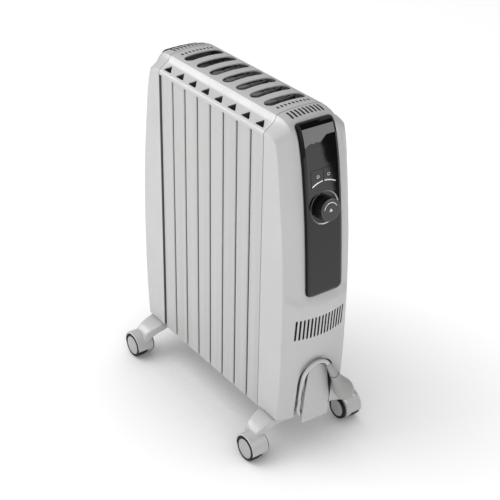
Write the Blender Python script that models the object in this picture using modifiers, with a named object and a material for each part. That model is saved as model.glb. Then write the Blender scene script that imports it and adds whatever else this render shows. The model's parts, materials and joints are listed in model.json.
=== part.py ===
"""Oil filled radiator heater on four wheels, as an assembly of separate parts.

Metres, +Z up. X runs along the heater and the control end is +X; Y is its thickness.
The origin is on the floor, under the middle of the body.
"""
import math

import bmesh
import bpy
from mathutils import Matrix, Vector

# ---- The oil filled body ------------------------------------------------------------
FIN_COUNT = 8
FIN_PITCH = 0.0400
FIN_GAP = 0.0036                  # between the folded edges of two fins
SHEET = 0.0012                    # steel sheet of a fin
FIN_HALF_DEPTH = 0.0690           # outside of a fin's folded edge
FIN_BOTTOM = 0.0720
FIN_TOP = 0.6230
FOLD = 0.0055
FOLD_BEND = 0.0026
BODY_END = FIN_COUNT * FIN_PITCH / 2
GAP = 0.0003                      # between pieces that touch

HEADER_R = 0.0140
HEADER_BORE_R = 0.0115
HEADER_END = 0.1480
HEADER_CAP = 0.0040
LOWER_HEADER_Z = 0.1120
UPPER_HEADER_Z = 0.5800

# ---- Covers -------------------------------------------------------------------------
# Outside of the covers across the heater: half thickness and height, crown to edge.
ARCH = [(0.0, 0.6550), (0.0200, 0.6543), (0.0385, 0.6522), (0.0465, 0.6495),
        (0.0515, 0.6395), (0.0695, 0.6272), (0.0715, 0.6245)]
TOP_WALL = 0.0022
END_WALL = 0.0025
LIP_BOTTOM = 0.6185               # lower edge of the top cover
COVER_BOTTOM = 0.0768             # lower edge of the end covers
SEAM = 0.0004                     # between the top cover and an end cover

BIG_SLOT_R = 0.0115
BIG_SLOT_REACH = 0.0291           # end centres of the big slots
ROW_X = 0.1430                    # the row of small slots near each end of the top cover
ROW_LENGTH = 0.0085
SLOT_WIDTH = 0.0040
SLOT_PITCH = 0.0078
SLOTS = 9
END_SLOT_X = (0.1650, 0.1862)
VENTS = 15
VENT_PITCH = 0.00726
VENT_WIDTH = 0.0036
VENT_Z = (0.2530, 0.2965)
TRIANGLE_HALF = 0.0125
TRIANGLE_HEIGHT = 0.0130
TRIANGLE_ROUND = 0.0014
TRIANGLE_RISE = 0.16              # way up the sloping facet to the triangle's base
TOP_CUT_Z = (0.6400, 0.6700)      # cutters reach from inside a cover to outside it
END_CUT_Z = (0.6360, 0.6700)
VENT_CUT_X = (0.2300, 0.2650)
TRIANGLE_CUT = (-0.0050, 0.0060)

# ---- Steel plates inside the end covers ---------------------------------------------
PLATE_X = 0.1612
PLATE_SHEET = 0.0014
PLATE_FOOT_X = 0.2080
PLATE_TOP = 0.6050
PLATE_HALF = 0.0640
PLATE_HOLE_R = 0.0130

# ---- Control panel ------------------------------------------------------------------
PANEL_HALF = 0.0385
PANEL_THICK = 0.0062
PANEL_GAP = 0.0004
PANEL_BOTTOM_Z = 0.3400
KNOB_Z = 0.5010
KNOB_R = 0.0205
KNOB_HEIGHT = 0.0180
DISH_R = 0.0296
DISH_DEPTH = 0.0015
BUTTON_V = 0.0565                 # middle of the buttons above the knob's axis
BUTTON_ARC_R = 0.0455
BUTTON_HALF = 0.0252
BUTTON_TOP = 0.0680
BUTTON_SPLIT = 0.0008
BUTTON_STEM_U = 0.0125
LAMP_Z = 0.6020
LAMP_U = -0.0100
BUTTON_REST = 0.0006              # a key's face over the panel
BUTTON_THICK = 0.0032
BUTTON_CORNER = 0.0030
BUTTON_STEM_R = 0.0035
STEM_END = -0.0070                # of the keys' stems and the thermostat's bush
STEM_HOLE_R = 0.0045
LAMP_SIZE = (0.0030, 0.0015)      # end centre and end radius of the lens
LAMP_REST = 0.0007
LAMP_DEPTH = -0.0120
LAMP_HOLE_R = 0.0050
SHAFT_R = 0.0030
SHAFT_HOLE_R = 0.00308
SHAFT_END = -0.0200
SHAFT_IN_KNOB = 0.0120
BUSH_R = 0.0050
BUSH_HOLE_R = 0.0060
COVER_CUT = (-0.0150, 0.0100)     # through the cover, measured out of its face
PANEL_CUT = (-0.0060, 0.0120)
THERMOSTAT = ((-0.0170, -0.0170, -0.0260), (0.0170, 0.0170, -0.0060))
SWITCH = ((-0.0100, -0.0120, -0.0300), (0.0100, 0.0120, -0.0100))

# ---- Wiring inside the control end --------------------------------------------------
WIRE_R = 0.0013
TERMINALS = ((0.1660, -0.0420, 0.2100), (0.1800, 0.0060, 0.2280))
CUTOUT_PLACE = (0.0300, 0.3300)
CUTOUT_R = 0.0080
CUTOUT_X = (0.1629, 0.1700)
ELEMENT_WIRE = ((0.1900, 0.0040, 0.1150), (0.1960, 0.0300, 0.1700), (0.1850, 0.0420, 0.2600),
                (0.1740, 0.0380, 0.3100), (0.1718, 0.0330, 0.3280))
THERMOSTAT_WIRE = ((0.1718, 0.0270, 0.3320), (0.1800, 0.0200, 0.3800), (0.1960, 0.0060, 0.4400),
                   (0.1995, 0.0020, 0.4700), (0.2036, 0.0000, 0.4868))

# ---- Element and filler -------------------------------------------------------------
ELEMENT_FLANGE_R = 0.0190
ELEMENT_FLANGE = 0.0050
ELEMENT_ROD_R = 0.0030
ELEMENT_HALF_PITCH = 0.0050
ELEMENT_BEND_X = -0.1100
ELEMENT_TAIL_X = 0.1760
FILLER_FLANGE_R = 0.0150
FILLER_FLANGE = 0.0030
FILLER_HEAD_R = 0.0100
FILLER_HEAD = 0.0082
FILLER_SPIGOT = 0.0100

# ---- Feet ---------------------------------------------------------------------------
WHEEL_X = 0.1990
WHEEL_R = 0.0249
RIM_R = 0.0195
WHEEL_INNER_Y = 0.1085
WHEEL_OUTER_Y = 0.1272
CAP_FACE_Y = 0.1288
DRUM_R = 0.0265
DRUM_Z = 0.0285
DRUM_INNER_Y = 0.0925
DRUM_OUTER_Y = 0.1268
DRUM_FLOOR_Z = 0.0030
POCKET_R = 0.0256
POCKET_Y = 0.1045
FOOT_CUT_Y = 0.1400               # cutters end outside the feet
AXLE_R = 0.0030
AXLE_HOLE_R = 0.00308
BAR_TOP = 0.0760
BAR_CUT_Z = (0.0500, 0.0900)
SCREW_X = 0.1880
SCREW_Y = 0.0450
SCREW_R = 0.0027
SCREW_HOLE_R = 0.0030
SCREW_HEAD_R = 0.0050
SCREW_Z = (0.0530, 0.0820)
SCREW_HEAD_Z = (0.0540, 0.0582)
NUT_Z = (0.0780, 0.0815)

# ---- Cord and its storage -----------------------------------------------------------
CORD_R = 0.00375
TURN_R = 0.0258                   # centreline of the outer turns round the top
TURN_TOP_Z = 0.1600
TURN_LOW_R = 0.0337               # and round the bottom
TURN_LOW_Z = 0.1000
WINDING_X = (0.2135, 0.2360)
WINDING_DEPTH = 0.0075            # between the outer and the inner turns' centrelines
WINDING_EDGE = 0.0026
TAIL_START = ((0.2323, -0.0318, 0.1180), (0.2338, -0.0312, 0.1380), (0.2382, -0.0318, 0.1570))
TAIL_TOP = (-0.0065, 0.1740, 0.0260)                 # the bend's centre Y, Z and radius
TAIL_BEND = ((180, 0.2434), (150, 0.2474), (120, 0.2490), (90, 0.2496), (60, 0.2500))
TAIL_END = (0.2503, 0.0140, 0.1905)
RECESS_BACK_X = 0.2128
RECESS_FRONT_X = 0.2800           # its cutter ends outside the cover
RECESS_WALL = 0.0022
TRAY_INSET = (-0.0010, 0.0, 0.0006)
RECESS_R = 0.0400
RECESS_TOP_Z = 0.1570
RECESS_LOW_HALF = 0.0415
TONGUE_X = (0.2364, 0.2406)
TONGUE_R = 0.0215
TONGUE_TOP_Z = 0.1650
TONGUE_LOW_HALF = 0.0305
TONGUE_LOW_Z = 0.0660
TONGUE_CORNER = 0.0060
GLAND_Y = -0.0262
GLAND_Z = 0.1300
GLAND_R = 0.0055
GLAND_HOLE_R = 0.0058
GLAND_NUT_R = 0.0085
GLAND_X = 0.2050
LEAD_IN = ((0.2080, 0.0), (0.2010, 0.0010), (0.1880, 0.0090), (0.1780, 0.0280), (0.1730, 0.0550),
           (0.1730, 0.0797))      # X, and height over the gland
PLUG_AXIS = (0.085, 0.465, -0.881)
RELIEF_LENGTH = 0.0300
RELIEF_RIBS = 5
RELIEF_GROOVE = 0.0014
PLUG_PROFILE = ((0.0130, 0.0880), (0.0160, 0.0868), (0.0178, 0.0830), (0.0188, 0.0750), (0.0188, 0.0700),
                (0.0178, 0.0640), (0.0150, 0.0560), (0.0118, 0.0470), (0.0098, 0.0390))
PLUG_NECK_R = 0.0092
PIN_SPACING = 0.0190
PIN_R = 0.0024
PIN_ROOT = 0.0760
PIN_TIP = 0.1080

# ---- Colours: base colour, roughness, metallic --------------------------------------
WHITE = ((0.72, 0.72, 0.71), 0.35, 0.0)
LIGHT_GREY = ((0.56, 0.56, 0.56), 0.40, 0.0)
BLACK_GLOSS = ((0.012, 0.012, 0.013), 0.08, 0.0)
BLACK_RUBBER = ((0.015, 0.015, 0.015), 0.75, 0.0)
SILVER = ((0.75, 0.75, 0.76), 0.18, 1.0)
STEEL = ((0.50, 0.50, 0.51), 0.35, 1.0)
BRASS = ((0.70, 0.52, 0.22), 0.30, 1.0)
DARK_PLASTIC = ((0.05, 0.05, 0.055), 0.45, 0.0)
AMBER = ((0.55, 0.20, 0.03), 0.15, 0.0)

SMOOTH_ANGLE = math.radians(32)
OBJECT = "oil_filled_radiator"


# ---- Helpers ------------------------------------------------------------------------
def clear_scene():
    for obj in list(bpy.data.objects):
        bpy.data.objects.remove(obj, do_unlink=True)


def collection(name):
    made = bpy.data.collections.get(name) or bpy.data.collections.new(name)
    if made.name not in bpy.context.scene.collection.children:
        bpy.context.scene.collection.children.link(made)
    return made


def material(name, look):
    colour, roughness, metallic = look
    mat = bpy.data.materials.new(name)
    mat.use_nodes = True
    shader = mat.node_tree.nodes["Principled BSDF"]
    shader.inputs["Base Color"].default_value = (*colour, 1.0)
    shader.inputs["Roughness"].default_value = roughness
    shader.inputs["Metallic"].default_value = metallic
    return mat


def keep(name, mesh, look, matrix=None):
    """Adds a mesh to the heater as the named part."""
    obj = bpy.data.objects.new(name, mesh)
    collection(OBJECT).objects.link(obj)
    mesh.materials.append(material(name + "_material", look))
    if matrix is not None:
        obj.matrix_world = matrix
    mesh.shade_smooth()
    mesh.set_sharp_from_angle(angle=SMOOTH_ANGLE)
    return obj


def tool(name, mesh, matrix=None):
    """Adds a mesh to the hidden cutters."""
    obj = bpy.data.objects.new(name, mesh)
    collection("cutters").objects.link(obj)
    obj.hide_render = True
    obj.display_type = "WIRE"
    if matrix is not None:
        obj.matrix_world = matrix
    return obj


def boolean(obj, other, operation="DIFFERENCE"):
    mod = obj.modifiers.new(operation.lower() + "_" + other.name, "BOOLEAN")
    mod.operation = operation
    mod.solver = "EXACT"
    mod.object = other


def solidify(obj, wall):
    """Gives a sheet its wall, on the inner side."""
    mod = obj.modifiers.new("wall", "SOLIDIFY")
    mod.thickness = wall
    mod.offset = -1.0
    mod.use_even_offset = True
    mod.use_quality_normals = True


def bevel(obj, width, segments=2, angle=35):
    mod = obj.modifiers.new("bevel", "BEVEL")
    mod.width = width
    mod.segments = segments
    mod.limit_method = "ANGLE"
    mod.angle_limit = math.radians(angle)


def mesh_from(name, build, closed=True):
    """A mesh from a function that fills a bmesh; an open sheet keeps its faces' order."""
    bm = bmesh.new()
    build(bm)
    if closed:
        bmesh.ops.recalc_face_normals(bm, faces=bm.faces)
    mesh = bpy.data.meshes.new(name)
    bm.to_mesh(mesh)
    bm.free()
    return mesh


def axes_matrix(origin, x_axis, y_axis, z_axis):
    """A frame with the given axes."""
    turned_axes = Matrix((x_axis, y_axis, z_axis)).transposed().to_4x4()
    return Matrix.Translation(Vector(origin)) @ turned_axes


def frame_along(origin, direction):
    """A frame at the origin with its Z axis along the direction."""
    z_axis = Vector(direction).normalized()
    side = Vector((1, 0, 0)) if abs(z_axis.x) < 0.9 else Vector((0, 1, 0))
    y_axis = z_axis.cross(side).normalized()
    return axes_matrix(origin, y_axis.cross(z_axis), y_axis, z_axis)


WORLD = Matrix.Identity(4)
FACING_X = axes_matrix((0, 0, 0), (0, 1, 0), (0, 0, 1), (1, 0, 0))      # outlines in Y and Z
FACING_Y = axes_matrix((0, 0, 0), (0, 0, 1), (1, 0, 0), (0, 1, 0))      # outlines in Z and X


def at(x, y, z):
    return Matrix.Translation((x, y, z))


def add_box(bm, low, high, frame=WORLD):
    low, high = Vector(low), Vector(high)
    place = frame @ Matrix.Translation((low + high) / 2) @ Matrix.Diagonal((*(high - low), 1.0))
    bmesh.ops.create_cube(bm, size=1.0, matrix=place)


def add_rod(bm, radius, low, high, frame, segments=16):
    """A cylinder along the frame's Z axis."""
    place = frame @ Matrix.Translation((0, 0, (low + high) / 2))
    bmesh.ops.create_cone(bm, cap_ends=True, segments=segments, radius1=radius, radius2=radius,
                          depth=high - low, matrix=place)


def add_prism(bm, outline, low, high, frame=WORLD):
    """A flat outline, extruded along the frame's Z axis."""
    bottom = [bm.verts.new(frame @ Vector((u, v, low))) for u, v in outline]
    top = [bm.verts.new(frame @ Vector((u, v, high))) for u, v in outline]
    bm.faces.new(bottom[::-1])
    bm.faces.new(top)
    for i in range(len(outline)):
        j = (i + 1) % len(outline)
        bm.faces.new((bottom[i], bottom[j], top[j], top[i]))


def add_loft(bm, sections, looped=False):
    """A solid through sections with the same number of points; looped closes a ring."""
    rings = [[bm.verts.new(p) for p in section] for section in sections]
    pairs = list(zip(rings, rings[1:]))
    if looped:
        pairs.append((rings[-1], rings[0]))
    count = len(rings[0])
    for ring, following in pairs:
        for i in range(count):
            j = (i + 1) % count
            bm.faces.new((ring[i], ring[j], following[j], following[i]))
    if not looped:
        bm.faces.new(rings[0][::-1])
        bm.faces.new(rings[-1])


def turned(name, profile, look, frame, steps=32):
    """A turned part from (radius, height) points, its outer side running downwards."""
    points = [(r, 0.0, z) for r, z in profile]
    edges = [(i, i + 1) for i in range(len(points) - 1)]
    if profile[0][0] > 0.0:
        edges.append((len(points) - 1, 0))
    mesh = bpy.data.meshes.new(name)
    mesh.from_pydata(points, edges, [])
    obj = keep(name, mesh, look, frame)
    mod = obj.modifiers.new("turn", "SCREW")
    mod.steps = steps
    mod.render_steps = steps
    mod.use_merge_vertices = True
    mod.merge_threshold = 0.00001
    mod.use_smooth_shade = True
    return obj


def arc(centre, radius, start, end, count):
    """Points on an arc from start to end, in degrees."""
    points = []
    for i in range(count + 1):
        a = math.radians(start + (end - start) * i / count)
        points.append((centre[0] + radius * math.cos(a), centre[1] + radius * math.sin(a)))
    return points


def slot(reach, radius, count=4):
    """A slot's outline along its second axis; reach is where the end centres are."""
    return arc((0.0, reach), radius, 0, 180, count) + arc((0.0, -reach), radius, 180, 360, count)


def moved(outline, du, dv):
    return [(u + du, v + dv) for u, v in outline]


def rounded_box(half_u, half_v, radius, count=3):
    u, v = half_u - radius, half_v - radius
    return (arc((u, v), radius, 0, 90, count) + arc((-u, v), radius, 90, 180, count)
            + arc((-u, -v), radius, 180, 270, count) + arc((u, -v), radius, 270, 360, count))


def smooth_points(route, spacing):
    """Evenly spaced points on a smooth curve through the route's points."""
    route = [Vector(p) for p in route]
    ends = [2 * route[0] - route[1]] + route + [2 * route[-1] - route[-2]]
    fine = []
    for a, b, c, d in zip(ends, ends[1:], ends[2:], ends[3:]):
        for i in range(24):
            t = i / 24
            fine.append(0.5 * (2 * b + (c - a) * t + (2 * a - 5 * b + 4 * c - d) * t * t
                               + (3 * b - a - 3 * c + d) * t ** 3))
    fine.append(route[-1])
    lengths = [0.0]
    for p, following in zip(fine, fine[1:]):
        lengths.append(lengths[-1] + (following - p).length)
    count = max(2, round(lengths[-1] / spacing))
    points = []
    k = 0
    for i in range(count + 1):
        want = lengths[-1] * i / count
        while k < len(fine) - 2 and lengths[k + 1] < want:
            k += 1
        points.append(fine[k].lerp(fine[k + 1], (want - lengths[k]) / (lengths[k + 1] - lengths[k])))
    return points


def tube(name, points, radius, look, resolution=2):
    """A round tube along points."""
    curve = bpy.data.curves.new(name, "CURVE")
    curve.dimensions = "3D"
    curve.bevel_depth = radius
    curve.bevel_resolution = resolution
    curve.use_fill_caps = True
    spline = curve.splines.new("POLY")
    spline.points.add(len(points) - 1)
    for point, place in zip(spline.points, points):
        point.co = (*place, 1.0)
    curve.materials.append(material(name + "_material", look))
    obj = bpy.data.objects.new(name, curve)
    collection(OBJECT).objects.link(obj)
    return obj


def tube_mesh(name, points, radius, resolution=2):
    """A tube's closed mesh, for joining to another part."""
    curve_object = tube(name, points, radius, STEEL, resolution)
    bpy.context.view_layer.update()
    graph = bpy.context.evaluated_depsgraph_get()
    mesh = bpy.data.meshes.new_from_object(curve_object.evaluated_get(graph))
    bpy.data.objects.remove(curve_object, do_unlink=True)
    bm = bmesh.new()
    bm.from_mesh(mesh)
    bmesh.ops.remove_doubles(bm, verts=bm.verts, dist=0.00001)
    bmesh.ops.recalc_face_normals(bm, faces=bm.faces)
    bm.to_mesh(mesh)
    bm.free()
    return mesh


def between(table, value):
    """Linear interpolation in rows of (value, result), in falling order of value."""
    if value >= table[0][0]:
        return table[0][1]
    for (high, first), (low, last) in zip(table, table[1:]):
        if value >= low:
            return first + (last - first) * (high - value) / (high - low)
    return table[-1][1]


# ---- The end covers' outside --------------------------------------------------------
# How far an end cover stands out from the middle of the heater, by height: under the
# panel, on the ridge beside it, and at the crease along the flat side.
KNEE_DEPTH = (0.0080, 0.0080, 0.0080, 0.0080, 0.0080, 0.0076, 0.0075)
KNEE_X = (0.1940, 0.1940, 0.1940, 0.1938, 0.1935, 0.1928, 0.1915)
TOP_ROWS = ((0.0, 0.0), (0.42, 0.0010), (0.76, 0.0038))   # way to the knee and drop
BLEND_Z = 0.5750
BLEND = (0.15, 0.35, 0.65, 1.0)
BLEND_X = {
    "panel": (0.2025, 0.2088, 0.2146, 0.2200),
    "ridge": (0.2020, 0.2090, 0.2132, 0.2165),
    "crease": (0.1932, 0.1958, 0.1985, 0.2012),
}
FACE_Z = (0.525, 0.475, 0.425, 0.375, 0.338)
FACE_X = {
    "panel": (0.2278, 0.2340, 0.2386, 0.2424, 0.2446),
    "ridge": (0.2220, 0.2268, 0.2305, 0.2332, 0.2346),
    "crease": (0.2080, 0.2140, 0.2195, 0.2225, 0.2240),
}
# Below the ledge under the panel the end is a bow across the heater.
LOWER_Z = (0.328, 0.316, 0.300, 0.250, 0.200, 0.140, COVER_BOTTOM)
LOWER_X = (0.2522, 0.2520, 0.2492, 0.2455, 0.2432, 0.2402, 0.2345)
LOWER_CREASE_X = (0.2245, 0.2248, 0.2250, 0.2252, 0.2250, 0.2225, 0.2170)
BOW = 0.295                       # twice the radius of the bow
RIDGE_Y = 0.0550
FLANK_Y = 0.0470
ROUND_EDGE = 0.0020
COLUMN_MIX = ({"panel": 1.0}, {"panel": 1.0}, {"panel": 1.0}, {"panel": 0.5, "ridge": 0.5},
              {"ridge": 1.0}, {"crease": 1.0}, {"crease": 1.0})
ROUNDED_COLUMN = 5


def column_x(table, column, row):
    value = sum(share * table[kind][row] for kind, share in COLUMN_MIX[column].items())
    return value + (ROUND_EDGE if column == ROUNDED_COLUMN else 0.0)


def cover_column(column):
    """One line down the outside of an end cover, from the seam over the knee to the foot."""
    top_y, top_z = ARCH[column]
    face_y = {3: FLANK_Y, 4: RIDGE_Y}.get(column, top_y)
    start = BODY_END + SEAM / 2
    knee_x, knee_z = KNEE_X[column], top_z - KNEE_DEPTH[column]
    points = [(start + (knee_x - start) * way, top_y, top_z - drop) for way, drop in TOP_ROWS]
    points.append((knee_x, top_y, knee_z))
    for row, way in enumerate(BLEND):
        y = top_y + (face_y - top_y) * way
        points.append((column_x(BLEND_X, column, row), y, knee_z + (BLEND_Z - knee_z) * way))
    for row, z in enumerate(FACE_Z):
        points.append((column_x(FACE_X, column, row), face_y, z))
    for row, z in enumerate(LOWER_Z):
        if column < ROUNDED_COLUMN:
            x = LOWER_X[row] - face_y ** 2 / BOW
        else:
            x = LOWER_CREASE_X[row] + (ROUND_EDGE if column == ROUNDED_COLUMN else 0.0)
        points.append((x, face_y, z))
    return points


def end_cover_mesh(name, side, closed):
    """The outside of an end cover: a sheet, or a solid closed at the seam and the foot."""
    half = [cover_column(column) for column in range(len(ARCH))]
    columns = [[(x, -y, z) for x, y, z in line] for line in reversed(half[1:])] + half

    def face(bm, corners, outward):
        bm.faces.new(corners if outward == (side > 0) else corners[::-1])

    def build(bm):
        grid = [[bm.verts.new((side * x, y, z)) for x, y, z in line] for line in columns]
        for line, following in zip(grid, grid[1:]):
            for i in range(len(line) - 1):
                face(bm, (line[i], line[i + 1], following[i + 1], following[i]), True)
        corners = [bm.verts.new((side * (BODY_END + SEAM / 2), line[0].co.y, COVER_BOTTOM))
                   for line in (grid[0], grid[-1])]
        face(bm, [*grid[0], corners[0]], False)
        face(bm, [*grid[-1], corners[1]], True)
        if closed:
            bm.faces.new([line[0] for line in grid] + corners[::-1])
            bm.faces.new([line[-1] for line in grid] + corners[::-1])
    return mesh_from(name, build, closed)


KNEE_Z = ARCH[2][1] - KNEE_DEPTH[2]
PANEL_LINE = ([(KNEE_Z, KNEE_X[2])]
              + [(KNEE_Z + (BLEND_Z - KNEE_Z) * way, x) for way, x in zip(BLEND, BLEND_X["panel"])]
              + list(zip(FACE_Z, FACE_X["panel"])))


def panel_frame(z, side=1, step=0.012):
    """A frame on the cover under the panel: across, up along it, and out of it."""
    up = Vector((between(PANEL_LINE, z + step) - between(PANEL_LINE, z - step), 0.0, 2 * step))
    up.normalize()
    out = Vector((up.z, 0.0, -up.x))
    origin = Vector((between(PANEL_LINE, z), 0.0, z))
    flip = Matrix.Diagonal((side, side, 1.0))
    return axes_matrix(flip @ origin, Vector((0, side, 0)), flip @ up, flip @ out)


# ---- The oil filled body ------------------------------------------------------------
def fin_outline():
    """A fin seen from above: two folded edges joined by a web with oil channels."""
    reach = (FIN_PITCH - FIN_GAP) / 2
    outer = FIN_HALF_DEPTH
    web, channel = 0.0012, 0.0050
    quarter = [(web, 0.0050), (channel, 0.0095), (channel, 0.0255), (web, 0.0300),
               (channel, 0.0345), (channel, 0.0515), (web, 0.0560), (web, outer - SHEET)]
    bend = (reach - FOLD_BEND, outer - FOLD_BEND)
    quarter += arc(bend, FOLD_BEND - SHEET, 90, 0, 1)
    quarter += [(reach - SHEET, outer - FOLD), (reach, outer - FOLD)]
    quarter += arc(bend, FOLD_BEND, 0, 90, 3)
    left = [(-u, v) for u, v in reversed(quarter)]
    low_left = [(-u, -v) for u, v in quarter]
    low_right = [(u, -v) for u, v in reversed(quarter)]
    return quarter + left + low_left + low_right


def make_fins():
    def holes(bm):
        for z in (LOWER_HEADER_Z, UPPER_HEADER_Z):
            add_rod(bm, HEADER_R + 2 * GAP, -BODY_END, BODY_END, at(0, 0, z) @ FACING_X, 12)
    drill = tool("header_holes", mesh_from("header_holes", holes))
    for number in range(FIN_COUNT):
        middle = (number - (FIN_COUNT - 1) / 2) * FIN_PITCH
        outline = moved(fin_outline(), middle, 0.0)

        def build(bm, outline=outline):
            add_prism(bm, outline, FIN_BOTTOM, FIN_TOP)
        fin = keep(f"fin_{number + 1}", mesh_from(f"fin_{number + 1}", build), WHITE)
        boolean(fin, drill)


def make_headers():
    """Two tubes that join the fins' oil channels, each open at one end."""
    profile = [(0.0, -HEADER_END + HEADER_CAP), (HEADER_BORE_R, -HEADER_END + HEADER_CAP),
               (HEADER_BORE_R, HEADER_END), (HEADER_R, HEADER_END), (HEADER_R, -HEADER_END),
               (0.0, -HEADER_END)]
    turned("lower_header", profile, STEEL, at(0, 0, LOWER_HEADER_Z) @ FACING_X, steps=16)
    about = Matrix.Rotation(math.pi, 4, "Z")
    turned("upper_header", profile, STEEL, at(0, 0, UPPER_HEADER_Z) @ about @ FACING_X, steps=16)


def make_heating_element():
    """Immersion element: a flange that closes the lower header, and a long hairpin."""
    frame = at(0, 0, LOWER_HEADER_Z) @ FACING_X
    face = HEADER_END + GAP
    pitch, tail = ELEMENT_HALF_PITCH, ELEMENT_TAIL_X

    def build(bm):
        add_rod(bm, ELEMENT_FLANGE_R, face, face + ELEMENT_FLANGE, frame, segments=20)
    element = keep("heating_element", mesh_from("heating_element", build), STEEL)
    bend = arc((ELEMENT_BEND_X, 0.0), pitch, 90, 270, 6)
    route = [(tail, pitch), *bend, (tail, -pitch)]
    points = [(x, 0.0, LOWER_HEADER_Z + v) for x, v in route]
    boolean(element, tool("element_hairpin", tube_mesh("element_hairpin", points, ELEMENT_ROD_R)), "UNION")

    plug_frame = at(0, 0, UPPER_HEADER_Z) @ Matrix.Rotation(math.pi, 4, "Z") @ FACING_X

    def flange(bm):
        add_rod(bm, FILLER_FLANGE_R, face, face + FILLER_FLANGE, plug_frame)
    filler = keep("oil_filler_plug", mesh_from("oil_filler_plug", flange), BRASS)

    def head(bm):
        add_rod(bm, FILLER_HEAD_R, face + FILLER_FLANGE / 2, face + FILLER_HEAD, plug_frame, segments=6)
    boolean(filler, tool("filler_head", mesh_from("filler_head", head)), "UNION")

    def spigot(bm):
        add_rod(bm, HEADER_BORE_R - GAP, face - FILLER_SPIGOT, face + FILLER_FLANGE / 3, plug_frame)
    boolean(filler, tool("filler_spigot", mesh_from("filler_spigot", spigot)), "UNION")


# ---- Covers -------------------------------------------------------------------------
def make_top_cover():
    half = ARCH + [(ARCH[-1][0], LIP_BOTTOM)]
    line = [(-y, z) for y, z in reversed(half[1:])] + half
    end = BODY_END - SEAM / 2

    def sheet(bm):
        rows = [[bm.verts.new((x, y, z)) for x in (-end, end)] for y, z in line]
        for row, following in zip(rows, rows[1:]):
            bm.faces.new((row[0], row[1], following[1], following[0]))
    cover = keep("top_cover", mesh_from("top_cover", sheet, closed=False), WHITE)
    solidify(cover, TOP_WALL)

    def cuts(bm):
        for number in range(FIN_COUNT - 1):
            x = (number - (FIN_COUNT - 2) / 2) * FIN_PITCH
            add_prism(bm, moved(slot(BIG_SLOT_REACH, BIG_SLOT_R, 6), x, 0.0), *TOP_CUT_Z)
        across = slot(ROW_LENGTH / 2 - SLOT_WIDTH / 2, SLOT_WIDTH / 2, 2)
        along = [(v, u) for u, v in reversed(across)]
        for number in range(SLOTS):
            y = (number - (SLOTS - 1) / 2) * SLOT_PITCH
            for side in (-1, 1):
                add_prism(bm, moved(along, side * ROW_X, y), *TOP_CUT_Z)
        low, high = Vector((0.0, *ARCH[5])), Vector((0.0, *ARCH[4]))
        for side in (-1, 1):
            flip = Matrix.Diagonal((1.0, side, 1.0))
            up = flip @ (high - low).normalized()
            along_x = Vector((-side, 0.0, 0.0))
            out = along_x.cross(up)
            for number in range(FIN_COUNT):
                x = (number - (FIN_COUNT - 1) / 2) * FIN_PITCH
                origin = flip @ low.lerp(high, TRIANGLE_RISE) + Vector((x, 0.0, 0.0))
                add_prism(bm, triangle(), *TRIANGLE_CUT, axes_matrix(origin, along_x, up, out))
    boolean(cover, tool("top_cover_cuts", mesh_from("top_cover_cuts", cuts)))


def triangle():
    """A triangle with rounded corners, its base on the first axis."""
    half, height, r = TRIANGLE_HALF, TRIANGLE_HEIGHT, TRIANGLE_ROUND
    return (arc((half - 2.2 * r, r), r, -90, 45, 2) + arc((0.0, height - r), r, 45, 135, 1)
            + arc((-half + 2.2 * r, r), r, 135, 270, 2))


def recess_outline(grow):
    """The cord recess seen from the end, open downwards."""
    low = COVER_BOTTOM - 0.0100
    half = RECESS_LOW_HALF + grow
    return arc((0.0, RECESS_TOP_Z), RECESS_R + grow, 0, 180, 12) + [(-half, low), (half, low)]


def add_cover_slots(bm, side):
    """The row of long slots on top of an end cover."""
    low, high = END_SLOT_X
    outline = slot((high - low) / 2 - SLOT_WIDTH / 2, SLOT_WIDTH / 2, 2)
    along = [(v, u) for u, v in reversed(outline)]
    for number in range(SLOTS):
        y = (number - (SLOTS - 1) / 2) * SLOT_PITCH
        add_prism(bm, moved(along, side * (low + high) / 2, y), *END_CUT_Z)


def add_vents(bm, side):
    """The upright vents under the panel."""
    low, high = VENT_Z
    outline = slot((high - low) / 2 - VENT_WIDTH / 2, VENT_WIDTH / 2, 2)
    for number in range(VENTS):
        y = (number - (VENTS - 1) / 2) * VENT_PITCH
        place = moved(outline, y, (low + high) / 2)
        add_prism(bm, place, *sorted(side * x for x in VENT_CUT_X), FACING_X)


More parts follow.
